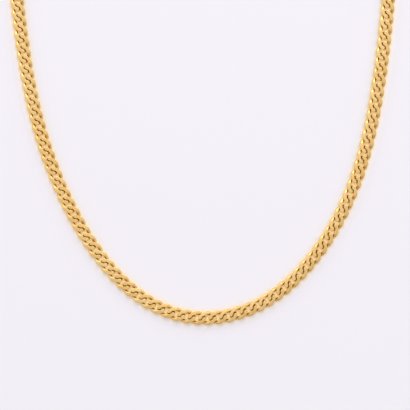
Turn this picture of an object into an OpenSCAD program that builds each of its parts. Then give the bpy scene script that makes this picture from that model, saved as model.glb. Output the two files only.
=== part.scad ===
// Curb chain necklace, closed by its clasp and lying flat, in millimetres.
// +Z is up and z = 0 is the surface that it lies on. The origin is the middle of the loop.
// The front of the necklace is towards -Y, and the clasp is at the back, towards +Y.

/* [Necklace] */
// Length of the necklace once round, which the nearest whole number of links makes up
necklace_len = 450; // [400:5:500]

/* [Link] */
// Diameter of the wire that the links are bent from
wire_d = 1.2; // [1.1:0.05:1.25]
// Outside length of a link
link_len = 5.8; // [5.5:0.1:6.1]
// Outside width of a link, before it is twisted
link_w = 4.3; // [4.2:0.05:4.6]
// Fullness of a link's ends: 2 would be half circles, and more is squarer
link_fullness = 2.8; // [2.5:0.1:3.2]
// Twist of a link from its one end to its other, in degrees
link_twist = 130; // [124:2:140]
// Thickness of the chain after its face and back are filed flat
chain_t = 1.1; // [1:0.05:1.4]
// Play along the chain between a link and the one that hangs in it
link_play = 0.15; // [0.12:0.01:0.25]

/* [Clasp] */
// Length of the clasp's bar
clasp_len = 10; // [8:0.5:14]
// Width of the clasp's bar
clasp_w = 4.8; // [4.5:0.1:5.5]
// Height of the clasp's bar
clasp_h = 2.2; // [1.9:0.1:3]
// Radius of the bar's corners, seen from above
clasp_corner_r = 0.8; // [0.5:0.1:1]
// Radius of the bar's long edges
clasp_edge_r = 0.4; // [0.2:0.05:0.6]

/* [Hidden] */
gold = [0.92, 0.72, 0.36];

// Points that the loop rounds off, once round from the back by the left side. They were chosen by
// hand from the photograph, and the loop is scaled to the length that the links need.
LOOP_POINTS = [
    [1.3, 81.5], [-22, 80.4], [-43, 70], [-57.5, 52], [-58, 29.5],
    [-55.5, 6.5], [-52, -15], [-45.5, -36], [-35, -57], [-20, -74.5],
    [0, -82], [22, -75.5], [38.5, -57.5], [48.5, -36.5], [53.5, -15.5],
    [56.5, 7], [58.5, 29.5], [57.5, 52], [43, 70], [24, 79.7]
];
loop_steps = 24;

// A link has a straight leg on each side and a full bend of wire at each end.
wire_r = wire_d / 2;
wire_sides = 5;
bend_angles = [-90, -45, 0, 45, 90];
bend_r = (link_w - wire_d) / 2;
half_leg = (link_len - link_w) / 2;

// Length of each half link's legs that is soldered inside the clasp's bar
leg_depth = clasp_corner_r + wire_r;

// Links along the chain, an even number so that the two halves are alike
pitch = link_len - 2 * wire_d - link_play;
half_count = round(((necklace_len - clasp_len) / pitch - 1) / 2);
link_count = 2 * half_count;
loop_len = (link_count + 1) * pitch + clasp_len;

// A point of the smooth closed curve, where u counts the loop's points
function loop_point(u) = let (
    i = floor(u),
    f = u - i,
    n = len(LOOP_POINTS),
    a = LOOP_POINTS[(i + n - 1) % n],
    b = LOOP_POINTS[i % n],
    c = LOOP_POINTS[(i + 1) % n],
    d = LOOP_POINTS[(i + 2) % n]
) (a * pow(1 - f, 3) + b * (3 * pow(f, 3) - 6 * f * f + 4)
    + c * (-3 * pow(f, 3) + 3 * f * f + 3 * f + 1) + d * pow(f, 3)) / 6;

step_count = loop_steps * len(LOOP_POINTS);
steps = [for (i = [0 : step_count]) loop_point(i / loop_steps)];
way = [for (i = 0, s = 0; i <= step_count;
    s = s + (i < step_count ? norm(steps[i + 1] - steps[i]) : 0), i = i + 1) s];
loop_scale = loop_len / way[step_count];
u_of_way = [for (i = [0 : step_count]) [way[i] * loop_scale, i / loop_steps]];

// The point of the loop that lies s along it from the clasp's middle
function on_loop(s) = loop_scale * loop_point(lookup(s, u_of_way));

// A link is placed by its middle and by the way that the loop runs there.
function link_way(k) = clasp_len / 2 + (k + 1) * pitch;
function heading(from, to) = atan2(to.y - from.y, to.x - from.x);
function link_turn(k) = heading(on_loop(link_way(k) - pitch / 2), on_loop(link_way(k) + pitch / 2));

clasp_ends = [on_loop(loop_len - clasp_len / 2), on_loop(clasp_len / 2)];
clasp_middle = (clasp_ends[0] + clasp_ends[1]) / 2;
clasp_turn = heading(clasp_ends[0], clasp_ends[1]);

// A point of the wire's middle in a bend, and the way that the wire's outer side faces there
function bend(angle) = bend_r * [cos(angle), sin(angle)] / pow(
    pow(abs(cos(angle)), link_fullness) + pow(abs(sin(angle)), link_fullness), 1 / link_fullness);
function outward(p) = let (
    side = [for (v = p) sign(v) * pow(abs(v), link_fullness - 1)]
) side / norm(side);

// A link's points: bent from wire, then twisted so that it lies flat, then filed on both sides
function bent(end, angle, corner) = let (
    middle = bend(angle),
    p = [half_leg, 0] + middle + wire_r * cos(corner) * outward(middle)
) [end * p.x, end * p.y, wire_r * sin(corner)];
function twisted(p) = let (
    turn = -link_twist * p.x / link_len
) [p.x, p.y * cos(turn) - p.z * sin(turn), p.y * sin(turn) + p.z * cos(turn)];
function filed(p) = [p.x, p.y, chain_t / 2 + min(max(p.z, -chain_t / 2), chain_t / 2)];
function corners() = [for (j = [0 : wire_sides - 1]) 360 * (j + 0.5) / wire_sides];
function turned(p, angle) = [
    p.x * cos(angle) - p.y * sin(angle),
    p.x * sin(angle) + p.y * cos(angle),
    p.z
];

half_link_points = [for (angle = bend_angles, c = corners()) filed(twisted(bent(1, angle, c)))];
link_points = concat(half_link_points,
    [for (angle = bend_angles, c = corners()) filed(twisted(bent(-1, angle, c)))]);
ring_count = 2 * len(bend_angles);

// The two triangles of each side of the wire, between one ring of corners and the next
function wire_faces(rings, closed, first) = [
    for (i = [0 : rings - (closed ? 1 : 2)], j = [0 : wire_sides - 1], half = [0, 1]) let (
        a = first + i * wire_sides,
        b = first + ((i + 1) % rings) * wire_sides,
        next = (j + 1) % wire_sides
    ) half == 0 ? [a + j, a + next, b + next] : [a + j, b + next, b + j]
];

// A row of links as one body of loose solids
module links(first, last) {
    points = [for (k = [first : last], p = link_points)
        turned(p, link_turn(k)) + concat(on_loop(link_way(k)), 0)];
    faces = [for (k = [0 : last - first])
        each wire_faces(ring_count, true, k * len(link_points))];
    polyhedron(points, faces);
}

// Half a link with the legs that run into the clasp's bar, along +X from the bar's end
module half_link() {
    function leg(x, side) = [for (c = corners())
        filed([x, side * (bend_r + wire_r * cos(c)), wire_r * sin(c)])];
    points = concat(
        leg(-leg_depth, -1), leg(0, -1), half_link_points, leg(0, 1), leg(-leg_depth, 1));
    rings = len(bend_angles) + 4;
    last = (rings - 1) * wire_sides;
    caps = [
        [for (j = [wire_sides - 1 : -1 : 0]) j],
        [for (j = [0 : wire_sides - 1]) last + j]
    ];
    polyhedron(points, concat(wire_faces(rings, false, 0), caps));
}

module rounded(size, r) {
    square([size.x, size.y - 2 * r], center = true);
    square([size.x - 2 * r, size.y], center = true);
    for (x = [-1, 1], y = [-1, 1])
        translate([x * (size.x / 2 - r), y * (size.y / 2 - r)]) circle(r, $fn = 48);
}

// The bar is rounded seen from above and along its length, and lies on its flat underside.
module bar() {
    intersection() {
        linear_extrude(clasp_h) rounded([clasp_len, clasp_w], clasp_corner_r);
        translate([0, 0, clasp_h / 2])
            rotate([90, 0, 90])
                linear_extrude(clasp_len, center = true)
                    rounded([clasp_w, clasp_h], clasp_edge_r);
    }
}

// The necklace's middle, seen from above: links reach furthest left, right and forward, and the
// clasp's bar furthest back.
link_middles = [for (k = [0 : link_count - 1]) on_loop(link_way(k))];
link_reach = max([for (p = link_points) p.y]);
loop_middle = [
    (min([for (p = link_middles) p.x]) + max([for (p = link_middles) p.x])) / 2,
    (min([for (p = link_middles) p.y]) - link_reach + clasp_middle.y + clasp_w / 2) / 2
];

module in_place() {
    translate([-loop_middle.x, -loop_middle.y, 0]) children();
}

module chain_left() {
    color(gold) in_place() links(0, half_count - 1);
}

module chain_right() {
    color(gold) in_place() links(half_count, link_count - 1);
}

module clasp() {
    color(gold) in_place()
        translate([clasp_middle.x, clasp_middle.y, 0]) rotate([0, 0, clasp_turn]) {
            bar();
            for (end = [0, 180]) rotate([0, 0, end]) translate([clasp_len / 2, 0, 0]) half_link();
        }
}

chain_left();
chain_right();
clasp();
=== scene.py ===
import bpy
import bmesh
import math
import random
from mathutils import Matrix, Vector
from mathutils.bvhtree import BVHTree


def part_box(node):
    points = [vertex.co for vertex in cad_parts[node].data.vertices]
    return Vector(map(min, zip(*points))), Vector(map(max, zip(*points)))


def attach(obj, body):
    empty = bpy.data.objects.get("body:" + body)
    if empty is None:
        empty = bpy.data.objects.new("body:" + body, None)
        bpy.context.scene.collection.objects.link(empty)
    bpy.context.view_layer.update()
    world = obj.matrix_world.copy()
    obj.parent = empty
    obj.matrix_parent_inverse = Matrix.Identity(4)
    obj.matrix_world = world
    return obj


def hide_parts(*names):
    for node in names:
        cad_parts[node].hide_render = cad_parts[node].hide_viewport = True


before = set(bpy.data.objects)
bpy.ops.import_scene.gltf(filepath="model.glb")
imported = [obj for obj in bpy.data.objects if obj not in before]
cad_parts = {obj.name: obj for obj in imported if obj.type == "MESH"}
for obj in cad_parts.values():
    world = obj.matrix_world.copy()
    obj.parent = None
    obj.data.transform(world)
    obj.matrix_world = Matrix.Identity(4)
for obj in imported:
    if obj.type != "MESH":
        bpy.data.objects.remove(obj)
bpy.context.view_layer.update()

MM = 0.001

# The link, as in the construction
WIRE_D = 1.2 * MM
LINK_LEN = 5.8 * MM
LINK_W = 4.3 * MM
LINK_TWIST = math.radians(130)
CHAIN_T = 1.1 * MM
LINK_PLAY = 0.15 * MM
BEND_R = (LINK_W - WIRE_D) / 2
HALF_LEG = (LINK_LEN - LINK_W) / 2
PITCH = LINK_LEN - 2 * WIRE_D - LINK_PLAY

# The clasp and the length of the loop
NECKLACE_LEN = 450 * MM
CLASP_LEN = 10 * MM
CLASP_W = 4.8 * MM
CLASP_H = 2.2 * MM
CLASP_CORNER_R = 0.8 * MM
CLASP_EDGE_R = 0.4 * MM
LEG_DEPTH = CLASP_CORNER_R + WIRE_D / 2
HALF_COUNT = round(((NECKLACE_LEN - CLASP_LEN) / PITCH - 1) / 2)
LOOP_LEN = (2 * HALF_COUNT + 1) * PITCH + CLASP_LEN

# The points that the loop rounds off, as in the construction, in millimetres
LOOP_POINTS = [Vector(p) * MM for p in (
    (1.3, 81.5), (-22, 80.4), (-43, 70), (-57.5, 52), (-58, 29.5),
    (-55.5, 6.5), (-52, -15), (-45.5, -36), (-35, -57), (-20, -74.5),
    (0, -82), (22, -75.5), (38.5, -57.5), (48.5, -36.5), (53.5, -15.5),
    (56.5, 7), (58.5, 29.5), (57.5, 52), (43, 70), (24, 79.7),
)]
LOOP_STEPS = 24

# The wire: how finely it is cut, and how far its curve reaches along the sides and at the ends
BEND_CUTS = 9
WIRE_CUTS = 4
SIDE_REACH = HALF_LEG + 0.91 * BEND_R
END_REACH = 0.55 * BEND_R

# How far polishing cuts the edges of the filed faces, and how far its sheen rounds all edges
FLAT_EDGE = 0.05 * MM
EDGE_R = 0.16 * MM
CLOSE = 0.001 * MM

# Edges sharper than this, in degrees, are shaded as edges
LINK_SHARP = 25
BAR_SHARP = 40

# How far a link leans from its place, as links do when a chain is laid down
LEAN = math.radians(1.0)
LEAN_SEED = 7

# How much brighter or duller one link is polished than the next, and the links with a painted highlight,
# whose gold is painted at its brightest where they would catch the light
SHINE = 0.3
PAINTED_GLINT_LINKS = {55: 1.0, 60: 1.0}


def loop_point(u):
    """A point of the smooth closed curve, where u counts the loop's points."""
    i, f = int(math.floor(u)), u - math.floor(u)
    a, b, c, d = (LOOP_POINTS[(i + k) % len(LOOP_POINTS)] for k in (-1, 0, 1, 2))
    return (a * (1 - f) ** 3 + b * (3 * f ** 3 - 6 * f * f + 4)
            + c * (-3 * f ** 3 + 3 * f * f + 3 * f + 1) + d * f ** 3) / 6


class Loop:
    """The way that the chain takes, measured from the clasp's middle and scaled to its length."""

    def __init__(self, length):
        count = LOOP_STEPS * len(LOOP_POINTS)
        steps = [loop_point(i / LOOP_STEPS) for i in range(count + 1)]
        self.ways = [0.0]
        for a, b in zip(steps, steps[1:]):
            self.ways.append(self.ways[-1] + (b - a).length)
        self.scale = length / self.ways[-1]
        self.ways = [w * self.scale for w in self.ways]

    def at(self, s):
        s = min(max(s, 0.0), self.ways[-1])
        i = max(k for k, w in enumerate(self.ways[:-1]) if w <= s)
        part = (s - self.ways[i]) / (self.ways[i + 1] - self.ways[i])
        return loop_point((i + part) / LOOP_STEPS) * self.scale


def heading(a, b):
    return math.atan2(b.y - a.y, b.x - a.x)


loop = Loop(LOOP_LEN)
clasp_ends = loop.at(LOOP_LEN - CLASP_LEN / 2), loop.at(CLASP_LEN / 2)
clasp_turn = heading(*clasp_ends)
clasp_lo, clasp_hi = (Vector(corner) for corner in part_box("clasp"))
clasp_middle = ((clasp_lo + clasp_hi) / 2).to_2d()
loop_shift = clasp_middle - (clasp_ends[0] + clasp_ends[1]) / 2


def only(*objects):
    """Selects these objects and nothing else."""
    if bpy.context.object and bpy.context.object.mode != "OBJECT":
        bpy.ops.object.mode_set(mode="OBJECT")
    bpy.ops.object.select_all(action="DESELECT")
    for obj in objects:
        obj.select_set(True)
    bpy.context.view_layer.objects.active = objects[0]


def edit(obj):
    only(obj)
    bpy.ops.object.mode_set(mode="EDIT")


def pick(obj, kind, test):
    """In edit mode, selects the vertices, edges or faces that pass the test."""
    bpy.ops.mesh.select_mode(type={"verts": "VERT", "edges": "EDGE", "faces": "FACE"}[kind])
    bpy.ops.mesh.select_all(action="DESELECT")
    mesh = bmesh.from_edit_mesh(obj.data)
    for element in getattr(mesh, kind):
        if test(element):
            element.select_set(True)
    mesh.select_flush_mode()
    bmesh.update_edit_mesh(obj.data)


def tidy_surface(obj, angle):
    """Merges doubles, turns all faces outwards and shades the object smooth up to an angle."""
    edit(obj)
    bpy.ops.mesh.select_all(action="SELECT")
    bpy.ops.mesh.remove_doubles(threshold=CLOSE)
    bpy.ops.mesh.normals_make_consistent(inside=False)
    only(obj)
    bpy.ops.object.shade_smooth_by_angle(angle=math.radians(angle))


def copy_of(obj):
    copy = obj.copy()
    copy.data = obj.data.copy()
    bpy.context.collection.objects.link(copy)
    return copy


def joined(name, objects):
    """The objects as one piece with its place in its mesh."""
    only(*objects)
    bpy.ops.object.join()
    piece = bpy.context.object
    piece.name = piece.data.name = name
    bpy.ops.object.transform_apply(location=True, rotation=True, scale=True)
    return piece


def bend_wire():
    """Round wire bent to an oval with full ends, lying flat."""
    bpy.ops.object.select_all(action="DESELECT")
    bpy.ops.curve.primitive_bezier_circle_add(radius=BEND_R)
    wire = bpy.context.object
    bpy.ops.object.mode_set(mode="EDIT")
    bpy.ops.curve.handle_type_set(type="ALIGNED")
    bpy.ops.object.mode_set(mode="OBJECT")
    for point in wire.data.splines[0].bezier_points:
        side = point.co.normalized()
        run = (point.handle_right - point.co).normalized()
        reach = END_REACH if abs(side.x) > 0.5 else SIDE_REACH
        point.co = (side.x * (HALF_LEG + BEND_R), side.y * BEND_R, 0)
        point.handle_left = point.co - run * reach
        point.handle_right = point.co + run * reach
    wire.data.resolution_u = BEND_CUTS
    wire.data.bevel_depth = WIRE_D / 2
    wire.data.bevel_resolution = WIRE_CUTS
    only(wire)
    bpy.ops.object.convert(target="MESH")
    return bpy.context.object


def twist(link):
    modifier = link.modifiers.new("twist", "SIMPLE_DEFORM")
    modifier.deform_method = "TWIST"
    modifier.deform_axis = "X"
    modifier.angle = -LINK_TWIST
    only(link)
    bpy.ops.object.modifier_apply(modifier=modifier.name)


def file_flat(link):
    """Cuts face and back down to the chain's thickness and breaks the new edges."""
    edit(link)
    for side in (-1, 1):
        bpy.ops.mesh.select_all(action="SELECT")
        bpy.ops.mesh.bisect(
            plane_co=(0, 0, side * CHAIN_T / 2), plane_no=(0, 0, side),
            use_fill=True, clear_outer=True, threshold=CLOSE / 10)

    def is_flat(face):
        return all(abs(abs(v.co.z) - CHAIN_T / 2) < CLOSE for v in face.verts)

    pick(link, "edges", lambda e: sorted(map(is_flat, e.link_faces)) == [False, True])
    bpy.ops.mesh.bevel(offset=FLAT_EDGE, segments=1, affect="EDGES", clamp_overlap=True)
    tidy_surface(link, LINK_SHARP)


# How many ways are looked along to find what a spot is hidden by, and how far, for the shade painted
# into the recesses
OCCLUSION_RAYS = 48
OCCLUSION_REACH = 2.5 * MM
OCCLUSION_START = 0.02 * MM
GOLDEN_TURN = math.radians(137.5)


def note_occlusion(link):
    """Notes how far each spot is hidden by the link and its neighbours, which sets where shade is
    painted into the gold.
    """
    triangles = [], []
    for step in (-1, 0, 1):
        first = len(triangles[0])
        triangles[0].extend(v.co + Vector((step * PITCH, 0, 0)) for v in link.data.vertices)
        triangles[1].extend([first + i for i in p.vertices] for p in link.data.polygons)
    tree = BVHTree.FromPolygons(*triangles)
    layer = link.data.attributes.new("occlusion", "FLOAT", "POINT")
    for vertex in link.data.vertices:
        turn = vertex.normal.to_track_quat("Z", "Y")
        start = vertex.co + vertex.normal * OCCLUSION_START
        hidden = 0
        for i in range(OCCLUSION_RAYS):
            lift = math.sqrt((i + 0.5) / OCCLUSION_RAYS)
            around = i * GOLDEN_TURN
            flat = math.sqrt(1 - lift * lift)
            way = turn @ Vector((flat * math.cos(around), flat * math.sin(around), lift))
            hidden += tree.ray_cast(start, way, OCCLUSION_REACH)[0] is not None
        layer.data[vertex.index].value = hidden / OCCLUSION_RAYS


def lay_links(name, link, first, last, lean):
    """A row of links along the loop, as one piece."""
    row = []
    for k in range(first, last + 1):
        way = CLASP_LEN / 2 + (k + 1) * PITCH
        turn = heading(loop.at(way - PITCH / 2), loop.at(way + PITCH / 2))
        place = loop.at(way) + loop_shift
        sideways, endways = lean.uniform(-LEAN, LEAN), lean.uniform(-LEAN, LEAN)
        # A leaning link is lifted so that none of it is under the floor
        rise = (abs(sideways) * LINK_W + abs(endways) * LINK_LEN) / 2
        copy = copy_of(link)
        copy.matrix_world = (
            Matrix.Translation((place.x, place.y, CHAIN_T / 2 + rise))
            @ Matrix.Rotation(turn, 4, "Z")
            @ Matrix.Rotation(sideways, 4, "X")
            @ Matrix.Rotation(endways, 4, "Y"))
        # The listed links get a painted highlight at the brightest gold; the others get a random tone
        tone_and_glint = PAINTED_GLINT_LINKS.get(k, lean.uniform(-SHINE, SHINE))
        layer = copy.data.attributes.new("tone_and_glint", "FLOAT", "POINT")
        for value in layer.data:
            value.value = tone_and_glint
        row.append(copy)
    return joined(name, row)


def half_link(link, turn):
    """Half a link at an end of the clasp's bar, with its legs run on into the bar."""
    half = copy_of(link)
    edit(half)
    bpy.ops.mesh.select_all(action="SELECT")
    bpy.ops.mesh.bisect(
        plane_co=(0, 0, 0), plane_no=(1, 0, 0), use_fill=True, clear_inner=True, threshold=CLOSE / 10)
    pick(half, "faces", lambda f: all(abs(v.co.x) < CLOSE for v in f.verts))
    bpy.ops.mesh.extrude_region_move(TRANSFORM_OT_translate={"value": (-LEG_DEPTH, 0, 0)})
    only(half)
    half.matrix_world = (
        Matrix.Translation((clasp_middle.x, clasp_middle.y, CHAIN_T / 2))
        @ Matrix.Rotation(clasp_turn + turn, 4, "Z")
        @ Matrix.Translation((CLASP_LEN / 2, 0, 0)))
    return half


def clasp_bar():
    """A plain bar, rounded seen from above and along its long edges."""
    bpy.ops.object.select_all(action="DESELECT")
    bpy.ops.mesh.primitive_cube_add(
        size=1, location=(clasp_middle.x, clasp_middle.y, CLASP_H / 2),
        rotation=(0, 0, clasp_turn), scale=(CLASP_LEN, CLASP_W, CLASP_H))
    bar = bpy.context.object
    only(bar)
    bpy.ops.object.transform_apply(location=False, rotation=False, scale=True)
    edit(bar)
    pick(bar, "edges", lambda e: abs(e.verts[0].co.z - e.verts[1].co.z) > CLASP_H / 2)
    bpy.ops.mesh.bevel(offset=CLASP_CORNER_R, segments=8, affect="EDGES")
    pick(bar, "edges", lambda e: sorted(abs(f.normal.z) > 0.9 for f in e.link_faces) == [False, True])
    bpy.ops.mesh.bevel(offset=CLASP_EDGE_R, segments=6, affect="EDGES")
    tidy_surface(bar, BAR_SHARP)
    return bar


link = bend_wire()
twist(link)
file_flat(link)
note_occlusion(link)
lean = random.Random(LEAN_SEED)
left = lay_links("curb_links_left", link, 0, HALF_COUNT - 1, lean)
right = lay_links("curb_links_right", link, HALF_COUNT, 2 * HALF_COUNT - 1, lean)
clasp = joined("clasp_bar", [clasp_bar(), half_link(link, 0), half_link(link, math.pi)])
bpy.data.objects.remove(link)


class Value:
    """A socket's value. Sums and products with it add Math nodes."""

    def __init__(self, maker, socket):
        self.maker, self.socket = maker, socket

    def math(self, operation, *others):
        return self.maker.add("ShaderNodeMath", {"operation": operation}, *others)

    def __add__(self, other):
        return self.math("ADD", self, other)

    def __mul__(self, other):
        return self.math("MULTIPLY", self, other)

    __radd__, __rmul__ = __add__, __mul__


class Maker:
    """Adds the nodes of one material or of the world."""

    def __init__(self, owner):
        owner.use_nodes = True
        self.owner, self.tree = owner, owner.node_tree
        self.tree.nodes.clear()

    def add(self, kind, settings, *inputs, out=0, **named):
        """A node of this kind, with its settings, then its sockets by place or by name."""
        node = self.tree.nodes.new(kind)
        for key, value in settings.items():
            if key == "stops":
                for element, (at, grey) in zip(node.color_ramp.elements, value):
                    element.position, element.color = at, (grey, grey, grey, 1)
            else:
                setattr(node, key, value)
        for socket, value in [*enumerate(inputs), *named.items()]:
            socket = socket.replace("_", " ") if isinstance(socket, str) else socket
            if isinstance(value, Value):
                self.tree.links.new(value.socket, node.inputs[socket])
            else:
                node.inputs[socket].default_value = value
        return Value(self, node.outputs[out]) if node.outputs else node

    def blend(self, amount, first, second):
        """From the first colour to the second by an amount."""
        node = self.tree.nodes.new("ShaderNodeMix")
        node.data_type = "RGBA"
        for socket, value in zip((0, 6, 7), (amount, first, second)):
            if isinstance(value, Value):
                self.tree.links.new(value.socket, node.inputs[socket])
            else:
                node.inputs[socket].default_value = value
        return Value(self, node.outputs[2])


def gold(name):
    """Polished yellow gold, with shade painted darker into the recesses where the links hide each other.
    """
    maker = Maker(bpy.data.materials.new(name))
    place = maker.add("ShaderNodeTexCoord", {}, out="Object")
    cloud = maker.add("ShaderNodeTexNoise", {}, place, Scale=700.0, Detail=2.0)
    marks = maker.add("ShaderNodeTexNoise", {}, place, Scale=7000.0, Detail=4.0)
    occlusion = maker.add("ShaderNodeAttribute", {"attribute_name": "occlusion"}, out="Fac")
    painted_shade = maker.add("ShaderNodeValToRGB", {"stops": ((0.27, 0), (0.62, 1))}, occlusion)
    tone_and_glint = maker.add("ShaderNodeAttribute", {"attribute_name": "tone_and_glint"}, out="Fac")
    # A random tone over the surface and from link to link, with a painted highlight on the listed links
    colour = maker.blend(0.3 + 0.4 * cloud + tone_and_glint, (0.93, 0.575, 0.19, 1), (1.0, 0.70, 0.30, 1))
    # Painted shade: the gold turns dark brown where the link and its neighbours hide a spot
    colour = maker.blend(painted_shade, colour, (0.38, 0.175, 0.0, 1))
    edge = maker.add("ShaderNodeBevel", {"samples": 8}, Radius=EDGE_R)
    bump = maker.add("ShaderNodeBump", {}, Strength=0.05, Distance=0.00002, Height=marks, Normal=edge)
    shader = maker.add(
        "ShaderNodeBsdfPrincipled", {}, Base_Color=colour, Metallic=0.87,
        Roughness=0.17 + 0.12 * marks, Specular_IOR_Level=0.1,
        Specular_Tint=(1.0, 0.88, 0.45, 1), Normal=bump)
    maker.add("ShaderNodeOutputMaterial", {}, shader)
    return maker.owner


chain_gold = gold("chain_gold")
clasp_gold = gold("clasp_gold")
for piece, metal, slot, node in (
        (left, chain_gold, "chain_gold", "chain_left"),
        (right, chain_gold, "chain_gold", "chain_right"),
        (clasp, clasp_gold, "clasp_gold", "clasp")):
    piece.data.materials.clear()
    piece.data.materials.append(metal)
    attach(piece, "root")
    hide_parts(node)

# The floor
FLOOR_SIDE = 12
FLOOR_COLOUR = (0.918, 0.882, 0.943, 1)
FLOOR_ROUGHNESS = 0.7

# The strip of warm light painted on the floor: how many steps it has along the chain, the warm tint
# painted into the floor's colour under it, and its light
GLOW_STEPS = 400
GLOW_PAINTED_TINT = (0.89, 0.84, 0.60, 1)
GLOW_LIGHT = (0.33, 0.21, 0.07, 1)
DARK = (0, 0, 0, 1)

bpy.ops.object.select_all(action="DESELECT")
bpy.ops.mesh.primitive_plane_add(size=FLOOR_SIDE, location=(0, 0, 0))
floor = bpy.context.object
floor.name = "floor"
floor_paint = Maker(bpy.data.materials.new("floor_paint"))
floor_shader = floor_paint.add(
    "ShaderNodeBsdfPrincipled", {}, Base_Color=FLOOR_COLOUR, Roughness=FLOOR_ROUGHNESS)
floor_paint.add("ShaderNodeOutputMaterial", {}, floor_shader)
floor.data.materials.append(floor_paint.owner)


def lay_glow():
    """The warm light that the gold throws on the floor under and beside the chain, painted as a glowing
    strip with a warmer colour.
    """
    glow = bpy.data.meshes.new("gold_glow")
    across = (-4.4, -3.6, -2.2, -1.0, 0.0, 1.0, 2.2, 3.6, 4.4)
    height = (-0.02, 0.01, 0.01, 0.01, 0.01, 0.01, 0.01, 0.01, -0.02)
    bright = (0.0, 0.0, 0.45, 1.0, 1.0, 1.0, 0.08, 0.0, 0.0)
    warm = (0.0, 0.0, 0.2, 1.0, 1.0, 1.0, 0.38, 0.0, 0.0)
    points, faces = [], []
    for i in range(GLOW_STEPS):
        way = LOOP_LEN * i / GLOW_STEPS
        before, after = ((way + step) % LOOP_LEN for step in (-PITCH / 2, PITCH / 2))
        turn = heading(loop.at(before), loop.at(after))
        side = Vector((-math.sin(turn), math.cos(turn)))
        middle = loop.at(way) + loop_shift
        points.extend((*(middle + side * a * MM), z * MM) for a, z in zip(across, height))
    for i in range(GLOW_STEPS):
        for j in range(len(across) - 1):
            a = i * len(across) + j
            b = (i + 1) % GLOW_STEPS * len(across) + j
            faces.append((a, a + 1, b + 1, b))
    glow.from_pydata(points, [], faces)
    for name, amounts in (("bright", bright), ("warm", warm)):
        layer = glow.attributes.new(name, "FLOAT", "POINT")
        for i in range(len(points)):
            layer.data[i].value = amounts[i % len(across)]
    obj = bpy.data.objects.new("gold_glow", glow)
    bpy.context.collection.objects.link(obj)
    paint = Maker(bpy.data.materials.new("gold_glow"))
    amount = paint.add("ShaderNodeAttribute", {"attribute_name": "bright"}, out="Fac")
    warmth = paint.add("ShaderNodeAttribute", {"attribute_name": "warm"}, out="Fac")
    # Painted light: the floor under and beside the chain is tinted warm and glows, standing in for light
    # reflected from the gold
    painted_tint = paint.blend(warmth, FLOOR_COLOUR, GLOW_PAINTED_TINT)
    light = paint.blend(amount, DARK, GLOW_LIGHT)
    shader = paint.add(
        "ShaderNodeBsdfPrincipled", {}, Base_Color=painted_tint, Roughness=FLOOR_ROUGHNESS,
        Emission_Color=light, Emission_Strength=1.0)
    paint.add("ShaderNodeOutputMaterial", {}, shader)
    glow.materials.append(paint.owner)


lay_glow()

# The camera looks straight down
PIXEL = 0.3086 * MM
PICTURE_SIDE = 410
VIEW_SIDE = PICTURE_SIDE * PIXEL
CAMERA_HEIGHT = 0.7
SENSOR_SIDE = 36
camera_data = bpy.data.cameras.new("camera")
camera_data.sensor_width = SENSOR_SIDE
camera_data.lens = SENSOR_SIDE * CAMERA_HEIGHT / VIEW_SIDE
camera = bpy.data.objects.new("camera", camera_data)
bpy.context.collection.objects.link(camera)
camera.location = (0.86 * MM, -45.9 * MM, CAMERA_HEIGHT + CHAIN_T)
bpy.context.scene.camera = camera

# Light: a soft sky that is brighter towards the back of the necklace
world = bpy.data.worlds.new("studio")
bpy.context.scene.world = world
sky = Maker(world)
direction = sky.add("ShaderNodeTexCoord", {}, out="Generated")
towards_back = sky.add("ShaderNodeSeparateXYZ", {}, direction, out="Y")
background = sky.add("ShaderNodeBackground", {}, Color=(1, 1, 1, 1), Strength=0.82 + 0.51 * towards_back)
sky.add("ShaderNodeOutputWorld", {}, background)


def soft_box(name, place, aim, size, power):
    light = bpy.data.lights.new(name, "AREA")
    light.shape, light.size, light.energy = "SQUARE", size, power
    obj = bpy.data.objects.new(name, light)
    bpy.context.collection.objects.link(obj)
    obj.location = place
    obj.rotation_mode = "QUATERNION"
    obj.rotation_quaternion = (Vector(aim) - Vector(place)).to_track_quat("-Z", "Y")
    return obj


soft_box("back_softbox", (0.1, 0.85, 0.8), (0, 0, 0), 1.0, 4.5)
bpy.context.scene.view_settings.view_transform = "Standard"
